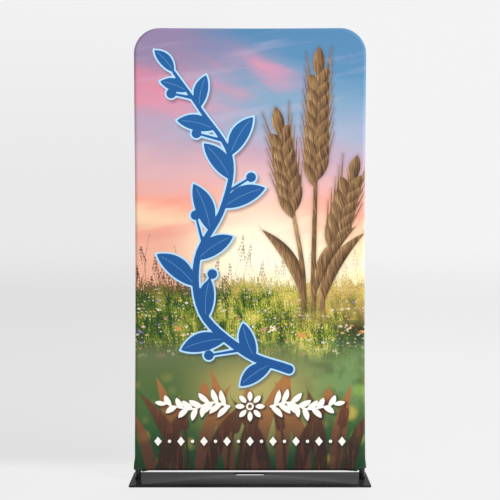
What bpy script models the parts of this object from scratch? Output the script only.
"""A free-standing church banner, in metres, +Z up, with its origin under the middle of its base plate.

A stretch cover of two sewn panels is pulled over a tube frame with rounded top corners.
The frame's two posts reach out of the cover's hem and stand on a flat steel plate.
"""

import math

import bmesh
import bpy

# Base plate: flat steel, rounded in plan, with a carry slot near its rear edge
PLATE_WIDTH = 1.220
PLATE_DEPTH = 0.305
PLATE_THICKNESS = 0.008
PLATE_CORNER_RADIUS = 0.012
PLATE_EDGE_BEVEL = 0.0008
SLOT_LENGTH = 0.166
SLOT_WIDTH = 0.048
SLOT_REAR_LAND = 0.0235

# Frame: bent tube, its posts drawn inwards a little by the stretched cover
TUBE_RADIUS = 0.015
TUBE_WALL = 0.0015
POST_SPACING = 1.152
BEND_RADIUS = 0.115
BEND_LEAD = 0.003
POST_BOW = 0.0053
TOP_SAG = 0.002
BANNER_HEIGHT = 2.320

# Cover: knitted cloth, its face standing off the tube by its own thickness and a slack
CLOTH_THICKNESS = 0.0012
CLOTH_SLACK = 0.0004
SEAM_GAP = 0.0003
HEM_EDGE_GAP = 0.0008
HEM_CLEARANCE = 0.0436
EAR_FLARE = 0.0055
EAR_START_HEIGHT = 0.125
EAR_FULL_HEIGHT = 0.066

# Where a tube meets the plate or another tube, it stops this far short
JOINT_GAP = 0.0003

# The hem beside each post: how far it droops, how wide the droop is, how wide the scoop
# for the post is, and how far the cloth hangs below the rail's axis over the post, at the
# post's inner side (flap) and at its outer side (ear)
HEM_ENDS = {
    "left": {
        "droop": 0.0044,
        "droop_width": 0.030,
        "scoop_width": 0.016,
        "flap": 0.0128,
        "ear": 0.0110,
    },
    "right": {
        "droop": 0.0024,
        "droop_width": 0.050,
        "scoop_width": 0.026,
        "flap": 0.0088,
        "ear": 0.0015,
    },
}

# Fineness of the curved shapes
BEND_STEPS = 9
POST_SIDES_RESOLUTION = 10
FRAME_SIDES_RESOLUTION = 6

# Sizes that follow
POST_HALF = POST_SPACING / 2
WRAP_RADIUS = TUBE_RADIUS + CLOTH_SLACK + CLOTH_THICKNESS
TOP_AXIS = BANNER_HEIGHT - WRAP_RADIUS
BEND_START = TOP_AXIS - BEND_RADIUS
RAIL_AXIS = PLATE_THICKNESS + HEM_CLEARANCE + WRAP_RADIUS
POST_FOOT = PLATE_THICKNESS + JOINT_GAP
TOP_HALF = POST_HALF - BEND_RADIUS
QUARTER_TURN = math.pi / 2

# Heights where the posts and the cover have points, as a share of the way up to the bend
LOW_ROWS = (0.0, 0.006, 0.012, 0.019, 0.027)
HIGH_ROWS = (0.1, 0.22, 0.36, 0.5, 0.64, 0.78, 0.9, 1.0)
# Points round a quarter turn of a tube: the short last one keeps the cloth's edge square
WRAP_SHARES = (0.2, 0.4, 0.6, 0.8, 0.97, 1.0)
# Places across the cover, as a share of the way from the middle to the post's axis
COLUMNS = (0.0, 0.3, 0.6, 0.78, 0.86, 0.905, 0.93, 0.952, 0.97, 0.985, 1.0)

POWDER_BLACK = (0.018, 0.018, 0.019, 1.0)
TUBE_BLACK = (0.012, 0.012, 0.013, 1.0)
PRINT_TONE = (0.47, 0.38, 0.33, 1.0)
BACK_WHITE = (0.78, 0.78, 0.77, 1.0)


def make_material(name, colour, roughness, metallic):
    material = bpy.data.materials.new(name)
    material.use_nodes = True
    shader = material.node_tree.nodes["Principled BSDF"]
    shader.inputs["Base Color"].default_value = colour
    shader.inputs["Roughness"].default_value = roughness
    shader.inputs["Metallic"].default_value = metallic
    return material


def clamp(value, low, high):
    return max(low, min(high, value))


def smooth_step(value):
    """0 below 0, 1 above 1, and an even S-curve between."""
    t = clamp(value, 0.0, 1.0)
    return t * t * (3 - 2 * t)


def row_height(share):
    """The height of a row, from the bottom rail's axis (0) to the start of the bend (1)."""
    return RAIL_AXIS + share * (BEND_START - RAIL_AXIS)


def post_axis(height):
    """Half the distance between the posts' axes: least at mid-height, where they bow inwards."""
    way_up = clamp((height - POST_FOOT) / (BEND_START - POST_FOOT), 0.0, 1.0)
    return POST_HALF - POST_BOW * math.sin(math.pi * way_up) ** 1.5


def top_sag(x):
    """How far the top rail hangs below its ends, most in the middle."""
    return TOP_SAG * max(0.0, math.cos(QUARTER_TURN * clamp(x / TOP_HALF, -1.0, 1.0)))


def new_object(name, data, collection, material):
    thing = bpy.data.objects.new(name, data)
    data.materials.append(material)
    collection.objects.link(thing)
    return thing


def make_base_plate(collection, material):
    """The plate's outline and its slot are rounded rectangles, filled and extruded."""
    outline = bpy.data.curves.new("base_plate_outline", "CURVE")
    outline.dimensions = "2D"
    outline.fill_mode = "BOTH"
    outline.extrude = PLATE_THICKNESS / 2
    slot_y = PLATE_DEPTH / 2 - SLOT_REAR_LAND - SLOT_WIDTH / 2
    add_rounded_rectangle(outline, 0.0, PLATE_WIDTH, PLATE_DEPTH, PLATE_CORNER_RADIUS, 5)
    add_rounded_rectangle(outline, slot_y, SLOT_LENGTH, SLOT_WIDTH, SLOT_WIDTH / 2, 9)
    flat = bpy.data.objects.new("base_plate_flat", outline)
    collection.objects.link(flat)
    bpy.context.view_layer.update()
    graph = bpy.context.evaluated_depsgraph_get()
    mesh = bpy.data.meshes.new_from_object(flat.evaluated_get(graph))
    bpy.data.objects.remove(flat)
    shape = bmesh.new()
    shape.from_mesh(mesh)
    bmesh.ops.remove_doubles(shape, verts=shape.verts, dist=0.00001)
    bmesh.ops.recalc_face_normals(shape, faces=shape.faces)
    shape.to_mesh(mesh)
    shape.free()
    plate = new_object("base_plate", mesh, collection, material)
    plate.location.z = PLATE_THICKNESS / 2
    bevel = plate.modifiers.new("eased edges", "BEVEL")
    bevel.width = PLATE_EDGE_BEVEL
    bevel.segments = 1
    bevel.limit_method = "ANGLE"
    bevel.angle_limit = math.radians(60)
    return plate


def add_rounded_rectangle(curve, centre_y, width, depth, radius, arc_points):
    """A closed outline whose four corners are arcs of arc_points points each."""
    points = []
    for corner in range(4):
        sign_x = 1 if corner in (0, 3) else -1
        sign_y = 1 if corner in (0, 1) else -1
        for step in range(arc_points):
            angle = QUARTER_TURN * (corner + step / (arc_points - 1))
            x = sign_x * (width / 2 - radius) + radius * math.cos(angle)
            y = sign_y * (depth / 2 - radius) + radius * math.sin(angle)
            points.append((x, centre_y + y, 0.0, 1.0))
    points = drop_repeats(points)
    spline = curve.splines.new("POLY")
    spline.points.add(len(points) - 1)
    for point, place in zip(spline.points, points):
        point.co = place
    spline.use_cyclic_u = True


def drop_repeats(points):
    """The points without those that lie on the one before them."""
    return [p for i, p in enumerate(points) if math.dist(p, points[i - 1]) > 1e-6]


def make_tube(name, path, resolution, collection, material):
    """A hollow tube, open at both ends, along a path of points."""
    curve = bpy.data.curves.new(name, "CURVE")
    curve.dimensions = "3D"
    curve.bevel_depth = TUBE_RADIUS
    curve.bevel_resolution = resolution
    curve.use_fill_caps = False
    spline = curve.splines.new("POLY")
    spline.points.add(len(path) - 1)
    for point, place in zip(spline.points, path):
        point.co = (*place, 1.0)
    spline.use_smooth = True
    tube = new_object(name, curve, collection, material)
    wall = tube.modifiers.new("wall", "SOLIDIFY")
    wall.thickness = TUBE_WALL
    wall.offset = -1.0
    return tube


def make_post(name, side, collection, material):
    """An upright from the plate to the bend, bowed inwards; side is -1 on the left."""
    heights = [POST_FOOT] + [row_height(share) for share in (0.0, 0.027, *HIGH_ROWS[:-1])]
    path = [(side * post_axis(height), 0.0, height) for height in heights]
    path.append((side * POST_HALF, 0.0, BEND_START - JOINT_GAP / 2))
    return make_tube(name, path, POST_SIDES_RESOLUTION, collection, material)


def make_corner(name, side, collection, material):
    """A quarter bend from a post to the top rail, with a short straight lead at each end,
    so that its ends are square to the tubes that they meet."""
    half_gap = JOINT_GAP / 2
    arc = [QUARTER_TURN * step / BEND_STEPS for step in range(1, BEND_STEPS)]
    path = [(BEND_RADIUS, half_gap), (BEND_RADIUS, BEND_LEAD)]
    path += [(BEND_RADIUS * math.cos(angle), BEND_RADIUS * math.sin(angle)) for angle in arc]
    path += [(BEND_LEAD, BEND_RADIUS), (half_gap, BEND_RADIUS)]
    path = [(side * (TOP_HALF + out), 0.0, BEND_START + up) for out, up in path]
    return make_tube(name, path, FRAME_SIDES_RESOLUTION, collection, material)


def make_top_rail(collection, material):
    end = TOP_HALF - JOINT_GAP / 2
    path = []
    for share in (-1.0, -0.75, -0.45, -0.15, 0.15, 0.45, 0.75, 1.0):
        x = share * end
        path.append((x, 0.0, TOP_AXIS - top_sag(x)))
    return make_tube("top_rail", path, FRAME_SIDES_RESOLUTION, collection, material)


def make_bottom_rail(collection, material):
    """A straight tube that stops just short of each post."""
    end = post_axis(RAIL_AXIS) - TUBE_RADIUS - JOINT_GAP
    path = [(-end, 0.0, RAIL_AXIS), (end, 0.0, RAIL_AXIS)]
    return make_tube("bottom_rail", path, FRAME_SIDES_RESOLUTION, collection, material)


def ear_flare(height):
    """How far the cover's bottom corner stands out from the post, near the hem."""
    fall = (EAR_START_HEIGHT - height) / (EAR_START_HEIGHT - EAR_FULL_HEIGHT)
    return EAR_FLARE * smooth_step(fall)


def hem_profile(x):
    """(length, roundness, droop) of the cloth below the rail's axis at x: how far it runs,
    how much of the tube's roundness it follows (1 under the rail, 0 in front of a post),
    and how far it hangs off the rail."""
    end = HEM_ENDS["left" if x < 0 else "right"]
    scoop_end = post_axis(RAIL_AXIS) - TUBE_RADIUS
    into_scoop = smooth_step((abs(x) - (scoop_end - end["scoop_width"])) / end["scoop_width"])
    over_post = clamp((abs(x) - scoop_end) / (2 * TUBE_RADIUS), 0.0, 1.0)
    flap = end["flap"] + (end["ear"] - end["flap"]) * over_post
    under_rail = WRAP_RADIUS * QUARTER_TURN - HEM_EDGE_GAP / 2
    length = under_rail + (flap - under_rail) * into_scoop
    near_post = 1 - (scoop_end - abs(x) - end["scoop_width"]) / end["droop_width"]
    droop = end["droop"] * smooth_step(near_post) * (1 - into_scoop)
    return length, 1 - into_scoop, droop


def cover_point(across, up):
    """A point on the front panel's outer face.

    across: -1 to 1 from post axis to post axis, and up to 1 more round the tube's side.
    up: -1 to 0 under the bottom rail, 0 to 1 from the rail to the bend, 1 to 2 up the bend.
    """
    flat_across = clamp(across, -1.0, 1.0)
    side = math.copysign(1.0, across)
    wrap = wrap_angle(abs(across) - 1)
    bend = QUARTER_TURN * clamp(up - 1, 0.0, 1.0)
    height = row_height(clamp(up, 0.0, 1.0))
    edge_x = post_axis(height) - BEND_RADIUS + BEND_RADIUS * math.cos(bend)
    out = WRAP_RADIUS * math.sin(wrap)
    x = flat_across * edge_x + side * out * math.cos(bend)
    y = -WRAP_RADIUS * math.cos(wrap)
    z = height + (BEND_RADIUS + out) * math.sin(bend)
    z -= top_sag(x) * math.sin(bend)
    if up < 0:
        length, roundness, droop = hem_profile(x)
        run = -up * length
        turn = max(roundness, 0.001) / WRAP_RADIUS
        z -= math.sin(turn * run) / turn + droop * smooth_step(-up)
        y += (1 - math.cos(turn * run)) / turn * math.cos(wrap)
    x += side * ear_flare(z) * math.sin(wrap)
    return x, y, z


def wrap_angle(share):
    """The angle round the tube's side, which ends half a seam gap short of a quarter turn."""
    last = math.acos(SEAM_GAP / 2 / WRAP_RADIUS)
    return last * clamp(share, 0.0, 1.0)


def top_point(across, round_top):
    """A point on the front panel where it wraps over the top rail, round_top from 0 to 1."""
    wrap = wrap_angle(round_top)
    x = across * TOP_HALF
    z = TOP_AXIS - top_sag(x) + WRAP_RADIUS * math.sin(wrap)
    return x, -WRAP_RADIUS * math.cos(wrap), z


def add_mapped_grid(shape, columns, rows, place):
    """Adds a grid with a point at place(column, row) for each column and row value."""
    made = bmesh.ops.create_grid(
        shape, x_segments=len(columns) - 1, y_segments=len(rows) - 1, size=1.0
    )
    for vertex in made["verts"]:
        column = round((vertex.co.x + 1) / 2 * (len(columns) - 1))
        row = round((vertex.co.y + 1) / 2 * (len(rows) - 1))
        vertex.co = place(columns[column], rows[row])


def make_cover_panel(name, facing, collection, material):
    """One panel of the cover: facing is -1 for the front, and 1 for the back."""
    flat = [-c for c in reversed(COLUMNS[1:])] + list(COLUMNS)
    wrap = [1 + share for share in WRAP_SHARES]
    columns = [-c for c in reversed(wrap)] + flat + wrap
    hem = [-share for share in reversed(WRAP_SHARES)]
    lead = BEND_LEAD / BEND_RADIUS / QUARTER_TURN
    arc = [step / BEND_STEPS for step in range(1, BEND_STEPS)]
    bend = [1 + share for share in (lead, *arc, 1 - lead, 1.0)]
    rows = [*hem, *LOW_ROWS, *HIGH_ROWS, *bend]
    shape = bmesh.new()
    add_mapped_grid(shape, columns, rows, cover_point)
    add_mapped_grid(shape, flat, [0.0, *WRAP_SHARES], top_point)
    bmesh.ops.remove_doubles(shape, verts=shape.verts, dist=0.00002)
    for vertex in shape.verts:
        vertex.co.y *= -facing
    if facing > 0:
        bmesh.ops.reverse_faces(shape, faces=shape.faces)
    mesh = bpy.data.meshes.new(name)
    shape.to_mesh(mesh)
    shape.free()
    mesh.shade_smooth()
    panel = new_object(name, mesh, collection, material)
    thickness = panel.modifiers.new("cloth thickness", "SOLIDIFY")
    thickness.thickness = CLOTH_THICKNESS
    thickness.offset = -1.0
    thickness.use_even_offset = True
    return panel


def main():
    for old in list(bpy.data.objects):
        bpy.data.objects.remove(old)
    banner = bpy.data.collections.new("church banner")
    bpy.context.scene.collection.children.link(banner)

    plate_finish = make_material("powder coated steel", POWDER_BLACK, 0.42, 0.0)
    tube_finish = make_material("powder coated tube", TUBE_BLACK, 0.38, 0.0)
    print_finish = make_material("printed stretch cloth", PRINT_TONE, 0.8, 0.0)
    back_finish = make_material("plain stretch cloth", BACK_WHITE, 0.85, 0.0)

    make_base_plate(banner, plate_finish)
    make_post("post_left", -1, banner, tube_finish)
    make_post("post_right", 1, banner, tube_finish)
    make_corner("corner_left", -1, banner, tube_finish)
    make_corner("corner_right", 1, banner, tube_finish)
    make_top_rail(banner, tube_finish)
    make_bottom_rail(banner, tube_finish)
    make_cover_panel("cover_front", -1, banner, print_finish)
    make_cover_panel("cover_back", 1, banner, back_finish)


main()
